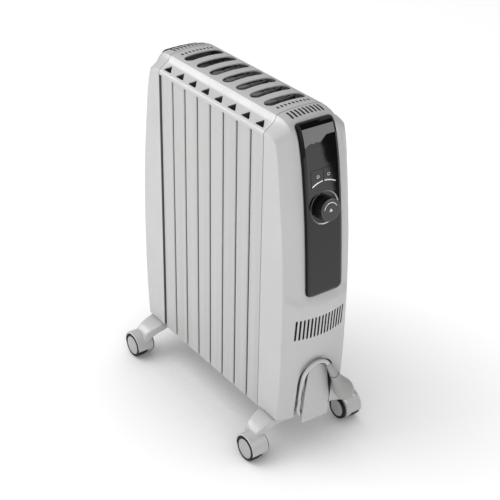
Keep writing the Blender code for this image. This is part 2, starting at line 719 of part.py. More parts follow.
def make_end_covers():
    def control_cuts(bm):
        add_cover_slots(bm, 1)
        add_vents(bm, 1)
        knob, keys, lamp = panel_frame(KNOB_Z), panel_frame(KNOB_Z + BUTTON_V), panel_frame(LAMP_Z)
        add_rod(bm, BUSH_HOLE_R, *COVER_CUT, knob)
        for side in (-1, 1):
            add_rod(bm, STEM_HOLE_R, *COVER_CUT, keys @ at(side * BUTTON_STEM_U, 0, 0), 12)
        add_rod(bm, LAMP_HOLE_R, *COVER_CUT, lamp @ at(LAMP_U, 0, 0))
        add_prism(bm, recess_outline(0.0), RECESS_BACK_X, RECESS_FRONT_X, FACING_X)

    def gland_hole(bm):
        add_rod(bm, GLAND_HOLE_R, GLAND_X, WINDING_X[1], at(0, GLAND_Y, GLAND_Z) @ FACING_X)
    cover = keep("control_end_cover", end_cover_mesh("control_end_cover", 1, False), WHITE)
    solidify(cover, END_WALL)

    def tray(bm):
        add_prism(bm, recess_outline(RECESS_WALL), RECESS_BACK_X - RECESS_WALL, RECESS_FRONT_X, FACING_X)
    tray_tool = tool("recess_tray", mesh_from("recess_tray", tray))
    inside = at(*TRAY_INSET)
    boolean(tray_tool, tool("cover_volume", end_cover_mesh("cover_volume", 1, True), inside), "INTERSECT")
    boolean(cover, tray_tool, "UNION")
    boolean(cover, tool("control_cover_cuts", mesh_from("control_cover_cuts", control_cuts)))
    boolean(cover, tool("gland_hole", mesh_from("gland_hole", gland_hole)))

    def rear_cuts(bm):
        add_cover_slots(bm, -1)
    rear = keep("rear_end_cover", end_cover_mesh("rear_end_cover", -1, False), WHITE)
    solidify(rear, END_WALL)
    boolean(rear, tool("rear_cover_cuts", mesh_from("rear_cover_cuts", rear_cuts)))


def make_end_plates():
    """Steel plates inside the end covers: a heat shield with a foot that the bar bolts to."""
    for side, name in ((1, "control_end_plate"), (-1, "rear_end_plate")):
        inner, outer = PLATE_X, PLATE_X + PLATE_SHEET
        foot_low, foot_high = BAR_TOP + GAP, BAR_TOP + GAP + PLATE_SHEET
        outline = [(inner, foot_low), (PLATE_FOOT_X, foot_low), (PLATE_FOOT_X, foot_high),
                   (outer, foot_high), (outer, PLATE_TOP), (inner, PLATE_TOP)]

        def build(bm, side=side, outline=outline):
            shape = [(z, side * x) for x, z in outline]
            add_prism(bm, shape, -PLATE_HALF, PLATE_HALF, FACING_Y)
        plate = keep(name, mesh_from(name, build), STEEL)

        def holes(bm, side=side):
            through = sorted((side * HEADER_END, side * ELEMENT_TAIL_X))
            add_rod(bm, PLATE_HOLE_R, *through, at(0, 0, LOWER_HEADER_Z) @ FACING_X)
            for y in (-SCREW_Y, SCREW_Y):
                add_rod(bm, SCREW_HOLE_R, *BAR_CUT_Z, at(side * SCREW_X, y, 0), 12)
        boolean(plate, tool(name + "_holes", mesh_from(name + "_holes", holes)))


# ---- Control panel ------------------------------------------------------------------
# Near each end of a panel: distance from the end, half width and height over the cover.
PANEL_ENDS_TOP = ((0.0000, 0.0325, 0.0018), (0.0012, 0.0362, 0.0036), (0.0032, 0.0379, 0.0052),
                  (0.0062, 0.0385, 0.0061))
PANEL_ENDS_LOW = ((0.0000, 0.0200, 0.0018), (0.0010, 0.0282, 0.0034), (0.0028, 0.0335, 0.0049),
                  (0.0060, 0.0370, 0.0060), (0.0115, 0.0385, 0.0062))


def crown_rise(u, z):
    """How much higher the cover's blended top is at u than at the panel's edge."""
    fade = max(0.0, min(1.0, (z - BLEND_Z) / (KNEE_Z - BLEND_Z)))
    heights = [(-y, top) for y, top in ARCH[:3]]
    return fade * (between(heights, -abs(u)) - ARCH[2][1])


def panel_sections(side):
    rows = [(KNEE_Z - distance, half, height) for distance, half, height in PANEL_ENDS_TOP]
    rows += [(z, PANEL_HALF, PANEL_THICK) for z, _ in PANEL_LINE[1:-1]]
    rows += [(PANEL_BOTTOM_Z + distance, half, height)
             for distance, half, height in reversed(PANEL_ENDS_LOW)]
    sections = []
    step = 0.0040
    for z, half, height in rows:
        frame = panel_frame(min(z, KNEE_Z - step), side, step)
        frame.translation = (side * between(PANEL_LINE, z), 0.0, z)
        rise = height - PANEL_GAP
        slope = min(1.0, rise / 0.0056)
        middle = min(ARCH[1][0], half / 2)
        right = [(0.0, PANEL_GAP), (middle, PANEL_GAP), (half, PANEL_GAP), (half, PANEL_GAP + 0.30 * rise),
                 (half - 0.0020 * slope, PANEL_GAP + 0.76 * rise), (half - 0.0065 * slope, height),
                 (middle * 0.98, height), (0.0, height)]
        outline = right + [(-u, w) for u, w in right[-2:0:-1]]
        lift = frame.col[2].z
        sections.append([frame @ Vector((u, 0.0, w + lift * crown_rise(u, z))) for u, w in outline])
    return sections


def button_outline(side, grow):
    """A key beside the split, bounded below by an arc about the knob; in the knob's frame."""
    radius = BUTTON_ARC_R - grow
    inner, outer = BUTTON_SPLIT - grow, BUTTON_HALF + grow
    top, r = BUTTON_TOP + grow, BUTTON_CORNER
    start = math.degrees(math.acos(outer / radius))
    end = math.degrees(math.acos(inner / radius))
    right = arc((0.0, 0.0), radius, end, start, 6) + arc((outer - r, top - r), r, 0, 90, 3)
    right.append((inner, top))
    outline = [(u, v - BUTTON_V) for u, v in right]
    return outline if side > 0 else [(-u, v) for u, v in reversed(outline)]


def lens_outline(grow):
    """The lamp's outline, lying across the panel."""
    reach, radius = LAMP_SIZE
    return [(LAMP_U + v, u) for u, v in reversed(slot(reach, radius + grow, 4))]


def make_panels():
    knob, keys, lamp = panel_frame(KNOB_Z), panel_frame(KNOB_Z + BUTTON_V), panel_frame(LAMP_Z)
    for side, name in ((1, "control_panel"), (-1, "rear_panel")):
        def build(bm, side=side):
            add_loft(bm, panel_sections(side))
        panel = keep(name, mesh_from(name, build), BLACK_GLOSS)
        if side < 0:
            continue

        def cuts(bm):
            add_rod(bm, BUSH_HOLE_R, *PANEL_CUT, knob, 20)
            for key in (-1, 1):
                add_prism(bm, button_outline(key, GAP), *PANEL_CUT, keys)
            add_prism(bm, lens_outline(GAP), *PANEL_CUT, lamp)
        boolean(panel, tool("panel_cuts", mesh_from("panel_cuts", cuts)))

        def dish(bm):
            add_rod(bm, DISH_R, PANEL_THICK - DISH_DEPTH, PANEL_CUT[1], knob, 40)
        boolean(panel, tool("panel_dish", mesh_from("panel_dish", dish)))


def make_controls():
    knob, keys, lamp = panel_frame(KNOB_Z), panel_frame(KNOB_Z + BUTTON_V), panel_frame(LAMP_Z)
    floor = PANEL_THICK - DISH_DEPTH
    low, high = floor + 2 * GAP, floor + 2 * GAP + KNOB_HEIGHT
    hole, depth = SHAFT_R + GAP, SHAFT_IN_KNOB
    turned("thermostat_knob",
           [(0.0, high - 0.0004), (0.0160, high), (KNOB_R - 0.0020, high), (KNOB_R - 0.0005, high - 0.0010),
            (KNOB_R - 0.0002, high - 0.0030), (KNOB_R + 0.0004, low), (hole, low), (hole, low + depth),
            (0.0, low + depth)],
           BLACK_GLOSS, knob, steps=36)
    turned("thermostat_shaft", [(0.0, low + depth - GAP), (SHAFT_R, low + depth - GAP),
                                (SHAFT_R, SHAFT_END), (0.0, SHAFT_END)], STEEL, knob, steps=16)
    turned("knob_ring", [(DISH_R - 0.0024, floor + GAP), (DISH_R - 0.0018, floor + 0.0012),
                         (DISH_R - GAP, PANEL_THICK + 0.0004), (DISH_R - GAP, floor + GAP)],
           SILVER, knob, steps=36)

    def body(bm):
        add_box(bm, *THERMOSTAT, knob)
    thermostat = keep("thermostat_body", mesh_from("thermostat_body", body), DARK_PLASTIC)

    def bush(bm):
        add_rod(bm, BUSH_R, STEM_END, floor - 2 * GAP, knob)
    boolean(thermostat, tool("thermostat_bush", mesh_from("thermostat_bush", bush)), "UNION")

    def bore(bm):
        add_rod(bm, SHAFT_HOLE_R, SHAFT_END - 5 * GAP, KNOB_HEIGHT, knob, 32)
    boolean(thermostat, tool("thermostat_bore", mesh_from("thermostat_bore", bore)))

    face = PANEL_THICK + BUTTON_REST
    for side, name in ((-1, "power_button_left"), (1, "power_button_right")):
        def key(bm, side=side):
            add_prism(bm, button_outline(side, 0.0), face - BUTTON_THICK, face, keys)
        button = keep(name, mesh_from(name, key), BLACK_GLOSS)

        def stem(bm, side=side):
            add_rod(bm, BUTTON_STEM_R, STEM_END, floor, keys @ at(side * BUTTON_STEM_U, 0, 0), 12)
        boolean(button, tool(name + "_stem", mesh_from(name + "_stem", stem)), "UNION")

        def switch(bm, side=side):
            add_box(bm, *SWITCH, keys @ at(side * BUTTON_STEM_U, 0, 0))
        name = name.replace("power_button", "switch_body")
        keep(name, mesh_from(name, switch), DARK_PLASTIC)

    def lens(bm):
        add_prism(bm, lens_outline(0.0), LAMP_DEPTH, PANEL_THICK + LAMP_REST, lamp)
    keep("pilot_lamp", mesh_from("pilot_lamp", lens), AMBER)


def make_wiring():
    """Terminal block, thermal cut-out and the wires between them, inside the control end."""
    def block(bm):
        add_box(bm, *TERMINALS)
    keep("terminal_block", mesh_from("terminal_block", block), DARK_PLASTIC)

    def cutout(bm):
        add_rod(bm, CUTOUT_R, *CUTOUT_X, at(0, *CUTOUT_PLACE) @ FACING_X)
    keep("thermal_cutout", mesh_from("thermal_cutout", cutout), STEEL)
    terminal = (ELEMENT_TAIL_X + GAP + WIRE_R, 0.0, LOWER_HEADER_Z - ELEMENT_HALF_PITCH)
    for name, route in (("element_wire", (terminal, *ELEMENT_WIRE)), ("thermostat_wire", THERMOSTAT_WIRE)):
        tube(name, smooth_points(route, 0.012), WIRE_R, DARK_PLASTIC, 1)


# ---- Cord storage, cord and plug ----------------------------------------------------
def loop_points(top_r, low_r, steps=8):
    """A loop round two circles with common tangents: (y, z, outward direction)."""
    lean = math.degrees(math.asin((low_r - top_r) / (TURN_TOP_Z - TURN_LOW_Z)))
    points = []
    for centre, radius, start, end in ((TURN_TOP_Z, top_r, -lean, 180 + lean),
                                       (TURN_LOW_Z, low_r, 180 + lean, 360 - lean)):
        for i in range(steps + 1):
            a = math.radians(start + (end - start) * i / steps)
            points.append((radius * math.cos(a), centre + radius * math.sin(a), math.cos(a), math.sin(a)))
    return points


def loop_outline(grow):
    """The outline of the cord's loop, moved outwards from the outer turns' centreline."""
    return [(y + grow * ny, z + grow * nz) for y, z, ny, nz in loop_points(TURN_R, TURN_LOW_R)]


def tail_route():
    """The cord's loose end: up the near side, over the top and down into the plug."""
    centre_y, centre_z, radius = TAIL_TOP
    route = list(TAIL_START)
    for angle, x in TAIL_BEND:
        a = math.radians(angle)
        route.append((x, centre_y + radius * math.cos(a), centre_z + radius * math.sin(a)))
    route.append(TAIL_END)
    return route


def make_cord():
    back, front = WINDING_X

    def winding(bm):
        inner, outer, edge = -WINDING_DEPTH - CORD_R, CORD_R, WINDING_EDGE
        section = [(outer, back + edge), (outer, front - edge), (outer - edge, front),
                   (inner + edge, front), (inner, front - edge), (inner, back + edge),
                   (inner + edge, back), (outer - edge, back)]
        rings = [[(x, y + grow * ny, z + grow * nz) for grow, x in section]
                 for y, z, ny, nz in loop_points(TURN_R, TURN_LOW_R, 10)]
        add_loft(bm, rings, looped=True)
    coil = keep("cord_winding", mesh_from("cord_winding", winding), WHITE)
    axis = Vector(PLUG_AXIS).normalized()
    points = smooth_points(tail_route(), 0.0080)
    points.append(points[-1] + 0.0040 * axis)
    leave = next(i for i, p in enumerate(points) if p.x > front + CORD_R + 0.0010)
    boolean(coil, tool("winding_end", tube_mesh("winding_end", points[:leave + 1], CORD_R, 3)), "UNION")
    onward = (points[leave + 1] - points[leave]).normalized()
    tail = [points[leave] + GAP * onward] + points[leave + 1:]
    tube("cord_tail", tail, CORD_R, WHITE, 3)
    make_plug(points[-1], axis)

    def tongue(bm):
        top = arc((0.0, TONGUE_TOP_Z), TONGUE_R, 0, 180, 12)
        r = TONGUE_CORNER
        low = (arc((-TONGUE_LOW_HALF + r, TONGUE_LOW_Z + r), r, 180, 270, 3)
               + arc((TONGUE_LOW_HALF - r, TONGUE_LOW_Z + r), r, 270, 360, 3))
        add_prism(bm, top + low, *TONGUE_X, FACING_X)
    plate = keep("cord_storage_tongue", mesh_from("cord_storage_tongue", tongue), WHITE)
    bevel(plate, 0.0009, 2)

    def core(bm):
        inner = -WINDING_DEPTH - CORD_R - GAP
        add_prism(bm, loop_outline(inner), RECESS_BACK_X + GAP, TONGUE_X[0] + 0.0015, FACING_X)
    boolean(plate, tool("storage_core", mesh_from("storage_core", core)), "UNION")

    turned("cord_gland",
           [(CORD_R + GAP, back - GAP), (GLAND_R, back - GAP), (GLAND_R, RECESS_BACK_X - RECESS_WALL - GAP),
            (GLAND_NUT_R, RECESS_BACK_X - RECESS_WALL - GAP), (GLAND_NUT_R, GLAND_X),
            (CORD_R + GAP, GLAND_X)],
           DARK_PLASTIC, at(0, GLAND_Y, GLAND_Z) @ FACING_X, steps=16)
    lead = [(x, GLAND_Y, GLAND_Z + height) for x, height in ((back - GAP, 0.0), *LEAD_IN)]
    tube("cord_lead_in", smooth_points(lead, 0.0100), CORD_R, WHITE, 2)


def make_plug(start, axis):
    """Strain relief, a pear shaped body and two round pins."""
    frame = frame_along(start + GAP * axis, axis)
    relief, ribs = RELIEF_LENGTH, RELIEF_RIBS
    rings = []
    for i in range(ribs):
        low = relief * i / ribs
        radius = CORD_R + 0.0008 + 0.0040 * i / ribs
        rings += [(radius, low), (radius + RELIEF_GROOVE / 2, low + relief / ribs - RELIEF_GROOVE)]
    profile = [(0.0, relief)] + rings[::-1] + [(0.0, 0.0)]
    turned("strain_relief", profile, WHITE, frame, steps=16)

    body = [(0.0, PLUG_PROFILE[0][1]), *PLUG_PROFILE, (PLUG_NECK_R, relief + GAP), (0.0, relief + GAP)]
    plug = turned("plug_body", body, WHITE, frame, steps=24)
    across = Matrix.Rotation(math.radians(90), 4, "Z")

    def holes(bm):
        for u in (-PIN_SPACING / 2, PIN_SPACING / 2):
            add_rod(bm, PIN_R + GAP, PIN_ROOT, PIN_TIP, frame @ across @ at(u, 0, 0), 12)
    boolean(plug, tool("pin_holes", mesh_from("pin_holes", holes)))

    for side, name in ((-1, "plug_pin_left"), (1, "plug_pin_right")):
        def pin(bm, side=side):
            add_rod(bm, PIN_R, PIN_ROOT + GAP, PIN_TIP, frame @ across @ at(side * PIN_SPACING / 2, 0, 0), 12)
        keep(name, mesh_from(name, pin), STEEL)


# ---- Feet ---------------------------------------------------------------------------
# The bar under the heater: half length, inner and outer side, bottom and top.
BAR_ROWS = ((0.0000, 0.1680, 0.2110, 0.0600, BAR_TOP), (0.0600, 0.1680, 0.2110, 0.0585, BAR_TOP),
            (0.0715, 0.1660, 0.2128, 0.0570, 0.0752), (0.0850, 0.1685, 0.2125, 0.0520, 0.0705),
            (0.0950, 0.1705, 0.2115, 0.0460, 0.0660), (0.1030, 0.1725, 0.2105, 0.0380, 0.0612),
            (0.1085, 0.1745, 0.2095, 0.0330, 0.0548), (0.1120, 0.1765, 0.2085, 0.0330, 0.0470))
BAR_CORNER = 0.0045


def make_feet():
    for side, end in ((1, "front"), (-1, "rear")):
        name = end + "_foot_bracket"

        def bar(bm, side=side):
            rows = [(-row[0], *row[1:]) for row in reversed(BAR_ROWS[1:])] + list(BAR_ROWS)
            sections = []
            for y, inner, outer, low, high in rows:
                outline = rounded_box((outer - inner) / 2, (high - low) / 2, BAR_CORNER, 2)
                sections.append([(side * ((inner + outer) / 2 + u), y, (low + high) / 2 + v)
                                 for u, v in outline])
            add_loft(bm, sections)
        bracket = keep(name, mesh_from(name, bar), WHITE)

        def drums(bm, side=side):
            frame = at(side * WHEEL_X, 0, DRUM_Z) @ FACING_Y
            for low, high in ((DRUM_INNER_Y, DRUM_OUTER_Y), (-DRUM_OUTER_Y, -DRUM_INNER_Y)):
                add_rod(bm, DRUM_R, low, high, frame, 32)
        boolean(bracket, tool(name + "_drums", mesh_from(name + "_drums", drums)), "UNION")

        def cuts(bm, side=side):
            wheel = at(side * WHEEL_X, 0, WHEEL_R) @ FACING_Y
            for low, high in ((POCKET_Y, FOOT_CUT_Y), (-FOOT_CUT_Y, -POCKET_Y)):
                add_rod(bm, POCKET_R, low, high, wheel, 32)
            for y in (-SCREW_Y, SCREW_Y):
                add_rod(bm, SCREW_HOLE_R, *BAR_CUT_Z, at(side * SCREW_X, y, 0), 12)
        boolean(bracket, tool(name + "_cuts", mesh_from(name + "_cuts", cuts)))

        def lower_cuts(bm, side=side):
            wheel = at(side * WHEEL_X, 0, WHEEL_R) @ FACING_Y
            for low, high in ((DRUM_INNER_Y - AXLE_R, POCKET_Y + AXLE_R),
                              (-POCKET_Y - AXLE_R, -DRUM_INNER_Y + AXLE_R)):
                add_rod(bm, AXLE_R + GAP, low, high, wheel, 16)
            add_box(bm, (side * WHEEL_X - DRUM_Z, -FOOT_CUT_Y, -DRUM_FLOOR_Z),
                    (side * WHEEL_X + DRUM_Z, FOOT_CUT_Y, DRUM_FLOOR_Z))
        boolean(bracket, tool(name + "_low_cuts", mesh_from(name + "_low_cuts", lower_cuts)))

        for y_side, place in ((-1, "near"), (1, "far")):
            make_screw(f"{end}_{place}_screw", at(side * SCREW_X, y_side * SCREW_Y, 0))
            make_wheel(f"{end}_{place}", side * WHEEL_X, y_side)


def make_screw(name, place):
    """A screw from under the bar into a nut on the end plate's foot."""
    def shank(bm):
        add_rod(bm, SCREW_R, *SCREW_Z, place, 8)
    screw = keep(name, mesh_from(name, shank), STEEL)

    def ends(bm):
        add_rod(bm, SCREW_HEAD_R, *SCREW_HEAD_Z, place, 8)
        add_rod(bm, SCREW_HEAD_R, *NUT_Z, place, 6)
    boolean(screw, tool(name + "_ends", mesh_from(name + "_ends", ends)), "UNION")


def make_wheel(name, x, y_side):
    frame = at(x, 0, WHEEL_R) @ Matrix.Rotation(0.0 if y_side > 0 else math.pi, 4, "Z") @ FACING_Y
    hub_r = RIM_R - GAP
    turned(name + "_tyre",
           [(RIM_R, WHEEL_OUTER_Y), (WHEEL_R - 0.0018, WHEEL_OUTER_Y), (WHEEL_R, WHEEL_OUTER_Y - 0.0022),
            (WHEEL_R, WHEEL_INNER_Y + 0.0012), (WHEEL_R - 0.0012, WHEEL_INNER_Y), (RIM_R, WHEEL_INNER_Y)],
           BLACK_RUBBER, frame, steps=32)
    turned(name + "_hub",
           [(0.0, CAP_FACE_Y), (0.0155, CAP_FACE_Y - 0.0005), (hub_r, CAP_FACE_Y - 0.0020),
            (hub_r, WHEEL_INNER_Y),
            (AXLE_HOLE_R, WHEEL_INNER_Y), (AXLE_HOLE_R, CAP_FACE_Y - 0.0030), (0.0, CAP_FACE_Y - 0.0030)],
           LIGHT_GREY, frame, steps=24)
    turned(name + "_axle",
           [(0.0, CAP_FACE_Y - 0.0034), (AXLE_R, CAP_FACE_Y - 0.0034), (AXLE_R, DRUM_INNER_Y + GAP),
            (0.0, DRUM_INNER_Y + GAP)], STEEL, frame, steps=16)


def main():
    clear_scene()
    make_fins()
    make_headers()
    make_heating_element()
    make_top_cover()
    make_end_covers()
    make_end_plates()
    make_panels()
    make_controls()
    make_wiring()
    make_cord()
    make_feet()


main()
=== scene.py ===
"""The looks of the oil filled radiator heater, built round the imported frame."""
import json
import math

import bmesh
import bpy
from mathutils import Matrix, Vector


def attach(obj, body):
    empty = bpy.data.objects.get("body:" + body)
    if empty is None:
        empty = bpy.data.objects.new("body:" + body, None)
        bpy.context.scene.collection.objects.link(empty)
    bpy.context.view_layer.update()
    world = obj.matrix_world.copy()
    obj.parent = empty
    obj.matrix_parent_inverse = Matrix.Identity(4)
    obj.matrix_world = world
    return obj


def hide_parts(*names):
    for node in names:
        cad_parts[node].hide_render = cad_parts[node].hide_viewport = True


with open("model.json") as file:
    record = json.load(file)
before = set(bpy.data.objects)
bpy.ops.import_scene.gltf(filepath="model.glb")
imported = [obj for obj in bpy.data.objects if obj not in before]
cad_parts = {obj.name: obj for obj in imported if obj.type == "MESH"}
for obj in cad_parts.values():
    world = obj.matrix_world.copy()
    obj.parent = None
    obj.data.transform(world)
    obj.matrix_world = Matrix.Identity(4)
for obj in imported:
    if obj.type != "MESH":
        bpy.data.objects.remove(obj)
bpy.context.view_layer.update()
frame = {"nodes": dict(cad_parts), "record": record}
NODES = frame["nodes"]

# ---- Camera --------------------------------------------------------------------------
LENS = 86.2                      # millimetres, as is the sensor's width
SENSOR_WIDTH = 36.0
CAMERA_PLACE = (1.5744, -1.1254, 1.4327)
CAMERA_RIGHT = (0.58147, 0.81341, 0.01572)
CAMERA_FORWARD = (-0.69842, 0.50899, -0.50313)

# ---- Cord, in metres -----------------------------------------------------------------
CORD_R = 0.00375
TURN_R = 0.0258                  # the outer turns' centreline round the top
TURN_TOP_Z = 0.1600
TURN_LOW_R = 0.0337              # and round the bottom
TURN_LOW_Z = 0.1000
COLUMNS = (0.21725, 0.22475, 0.23225)
GLAND = (0.2060, -0.0262, 0.1300)
ENTRY = (GLAND, (0.2100, -0.0262, 0.1302), (0.2138, -0.0258, 0.1325), (0.2162, -0.0244, 0.1390),
         (0.2171, -0.0222, 0.1480))
TAIL_START = ((0.2323, -0.0318, 0.1180), (0.2338, -0.0312, 0.1380), (0.2382, -0.0318, 0.1570))
TAIL_CENTRE = (-0.0065, 0.1740)  # of the arc over the tongue, across and up
TAIL_R = 0.0260
TAIL_ARC = ((180, 0.2434), (150, 0.2474), (120, 0.2490), (90, 0.2496), (60, 0.2500))
TAIL_END = (0.2503, 0.0140, 0.1905)
PLUG_AXIS = (0.085, 0.465, -0.881)
PLUG_LEAD = 0.0040               # the last stretch, straight into the plug
TURN_START = 0.25                # in turns, from the foot of the near side
TURN_END = 6.06
TURN_STEPS = 48                  # points to a turn
CHANGE_START = 0.85              # the share of a turn after which it moves to the next place
CHANGE_SHARE = 0.15
CURVE_STEPS = 12                 # points between two points of the route
CORD_SPACING = 0.0030
CORD_ROUNDING = 4

# ---- Panel, knob and keys: heights stand on the cover, along the panel's normal --------
PANEL_LINE = ((0.5750, 0.2200), (0.5250, 0.2278), (0.4750, 0.2340), (0.4250, 0.2386))   # z, x
SLOPE_STEP = 0.012               # up and down from a point, to find the slope there
KNOB_Z = 0.5010
KNOB_FACE = 0.0233
BUTTON_RISE = 0.0565             # the keys' middle above the knob's, along the panel
BUTTON_FACE = 0.0068
BUTTON_ARC_R = 0.0455

# ---- Marks on the knob and keys ------------------------------------------------------
MARK_RISE = 0.0001               # above the face that a mark is on
STRIP_MARK_RISE = 0.00045
KNOB_MARK_SINK = 0.0006          # and below it
KEY_MARK_SINK = 0.0004
MARK_BEVEL = 0.0002
FINE_BEVEL = 0.00015
ARC_STEPS = 24
KNOB_ARC = (0.0132, 0.0006, 22, 168)        # radius, half width, first and last degree
POINTER = ((-0.0036, -0.0026), (0.0036, -0.0026), (0.0, 0.0034))
STRIP_OUT = 0.0012               # the strip's middle, beyond the arc at the keys' foot
STRIP_HALF = 0.0010
STRIP_ANGLES = (2.2, 31)         # degrees from straight up
STRIP_STEPS = 12
RING_R = 0.0024
RING_HALF = 0.0004
RING_MIDDLE = (0.0112, -0.0010)
RING_BAR = ((-0.0004, 0.0008), (0.0004, 0.0008), (0.0004, 0.0032), (-0.0004, 0.0032))
# Each key's side, the first and last degree of its ring, and the bar in the ring's gap.
KEY_MARKS = {"left": (-1, (115, 425), RING_BAR), "right": (1, (100, 440), None)}

# ---- Limits round the narrow slots and the vents, a little clear of the cuts -----------
# The walls of the slots and vents within these limits get painted shade, a near black.
SLOT_FLOOR_Z = 0.6400
SLOT_ROWS_X = 0.1370
SLOT_REACH_Y = 0.0340
VENT_X = 0.2340
VENT_REACH_Y = 0.0535
VENT_Z = (0.2520, 0.2975)
WALL_FACING = 0.35               # a cut's wall faces outwards by less than this cosine
SIDE_FACING = 0.5                # the cosine that parts the sides of the panel and knob

# ---- Joint lines, and the dark strips of painted shade along them --------------------
# Across and up, from the middle of the top outwards.
COVER_ARCH = ((0.0, 0.6550), (0.0200, 0.6543), (0.0385, 0.6522), (0.0465, 0.6495),
              (0.0515, 0.6395), (0.0695, 0.6272), (0.0715, 0.6245))
COVER_FOOT = (0.0715, 0.0790)
SEAM_SHADE_X = (0.1596, 0.1606)
SEAM_SHADE_RISE = 0.00012
SEAM_SHADE_DEPTH = 0.0080

# ---- Inner wheels --------------------------------------------------------------------
WHEEL_X = 0.1990
WHEEL_Z = 0.0249
WHEEL_STEPS = 48
INNER_WHEEL_Y = (0.0870, 0.0921)
# Radius, and height from the inner face (-1) to the drum (1).
INNER_TYRE = ((0.0175, -0.8), (0.0215, -0.8), (0.0225, -0.4), (0.0225, 1.0), (0.0175, 1.0),
              (0.0175, -0.8))
INNER_HUB = ((0.0020, -1.0), (0.0140, -1.0), (0.0168, -0.7), (0.0173, -0.6), (0.0173, 1.0),
             (0.0020, 1.0))

# ---- Smooth shading ------------------------------------------------------------------
SHARP_ANGLE = 34                 # degrees; a sharper edge stays sharp
PANEL_SHARP_ANGLE = 8
WELD_REACH = 0.00001
NORMAL_WEIGHT = 80
BEVEL_STEPS = 2

# ---- Light ---------------------------------------------------------------------------
WORLD_STRENGTH = 0.48
WORLD_LOW = (0.55, 0.55, 0.55, 1.0)
WORLD_HIGH = (1.0, 1.0, 1.0, 1.0)
WORLD_HIGH_FROM = 0.35           # the height on the unit sphere from which it is full
# Place, target, size and power in watts, and whether matt surfaces see it.
LIGHTS = {
    "key": ((-1.6, -2.2, 3.0), (0.0, 0.0, 0.3), (3.2, 3.2), 72.0, True),
    "front": ((3.0, -1.2, 1.6), (0.1, 0.0, 0.3), (1.6, 1.6), 15.0, True),
    "strip": ((-2.10, -1.86, 1.69), (0.0, -0.06, 0.64), (1.6, 1.0), 52.0, False),
}
FLOOR_EDGE = ((-14.0, -14.0), (14.0, -14.0), (14.0, 14.0), (-14.0, 14.0))
FLOOR_GLOW = 0.46
FLOOR_REACH = 0.5                # metres within which the floor gets painted shadow from the heater
FLOOR_SAMPLES = 8
FLOOR_OPEN = (0.10, 1.0)         # the openness at which the floor is darkest, and palest
FLOOR_PAINTED_SHADOW = (0.26, 0.26, 0.26)
FLOOR_PALE = (0.92, 0.92, 0.92)
PANEL_MIDDLE = (0.215, 0.0, 0.60)
CARD_DISTANCE = 1.3
# What the gloss panel mirrors: corners as azimuth from +X, height in metres; and radiance.
CARDS = {
    "low_card": (((22.0, 0.125), (37.2, 0.125), (35.7, 0.470), (35.45, 0.630), (22.0, 0.630)), 1.5),
    "dark_card": (((37.2, 0.125), (52.0, 0.125), (52.0, 0.639), (35.45, 0.639), (35.7, 0.470)), 0.0),
    "high_card": (((18.0, 0.640), (56.0, 0.640), (56.0, 1.180), (18.0, 1.180)), 4.3),
    "flag": (((10.0, 1.190), (70.0, 1.190), (70.0, 3.400), (10.0, 3.400)), 0.0),
}
CARD_BASE = (0.004, 0.004, 0.004)

# ---- Colours and surfaces ------------------------------------------------------------
PAINT = (0.52, 0.52, 0.517)
COVER = (0.56, 0.56, 0.557)
PANEL_BLACK = (0.006, 0.006, 0.0065)
SILVER = (0.80, 0.80, 0.81)
PRINT_WHITE = (0.82, 0.82, 0.82)
NOISE_LOW, NOISE_HIGH = 0.3, 0.7             # between which most of a noise's values lie
PATCH_SCALE, PATCH_DETAIL = 9.0, 4.0         # broad patches of colour
GLOSS_SCALE, GLOSS_DETAIL = 60.0, 5.0        # finer changes of gloss
GRAIN_DETAIL = 2.0
# Painted shade in gaps and hollows, by ambient occlusion, on each finish given a reach.
PAINTED_GAP_SHADE = (0.006, 0.006, 0.006)
GAP_SAMPLES = 6
GAP_OPEN = (0.16, 0.78)          # the openness at which a gap's painted shade is darkest, and clear
GAP_KEPT = (0.11, 1.0)           # the share of the surface's own colour at those two


# ---- Helpers -------------------------------------------------------------------------
def add_object(name, data):
    obj = bpy.data.objects.new(name, data)
    bpy.context.scene.collection.objects.link(obj)
    return obj


def mesh_from(name, bm, closed=True):
    """The finished mesh, with a closed shape's faces turned outwards."""
    if closed:
        bmesh.ops.recalc_face_normals(bm, faces=bm.faces)
    mesh = bpy.data.meshes.new(name)
    bm.to_mesh(mesh)
    bm.free()
    return mesh


def make_camera():
    data = bpy.data.cameras.new("camera")
    data.lens = LENS
    data.sensor_width = SENSOR_WIDTH
    camera = add_object("camera", data)
    right = Vector(CAMERA_RIGHT).normalized()
    forward = Vector(CAMERA_FORWARD).normalized()
    up = right.cross(forward).normalized()
    right = forward.cross(up)
    axes = Matrix((right, up, -forward)).transposed()
    camera.matrix_world = Matrix.Translation(CAMERA_PLACE) @ axes.to_4x4()
    bpy.context.scene.camera = camera


# ---- Materials -----------------------------------------------------------------------
def new_material(name, base, roughness, metallic=0.0, coat=0.0, coat_roughness=0.1, specular=0.5):
    material = bpy.data.materials.new(name)
    material.use_nodes = True
    material.diffuse_color = (*base, 1.0)
    shader = material.node_tree.nodes["Principled BSDF"]
    shader.inputs["Base Color"].default_value = (*base, 1.0)
    shader.inputs["Roughness"].default_value = roughness
    shader.inputs["Metallic"].default_value = metallic
    shader.inputs["Coat Weight"].default_value = coat
    shader.inputs["Coat Roughness"].default_value = coat_roughness
    shader.inputs["Specular IOR Level"].default_value = specular
    return material


def add_node(material, kind, **values):
    """A node; each value goes to the socket of that name, or else to the node's own setting."""
    node = material.node_tree.nodes.new(kind)
    for key, value in values.items():
        if key in node.inputs:
            node.inputs[key].default_value = value
        else:
            setattr(node, key, value)
    return node


def link(material, source, target):
    material.node_tree.links.new(source, target)


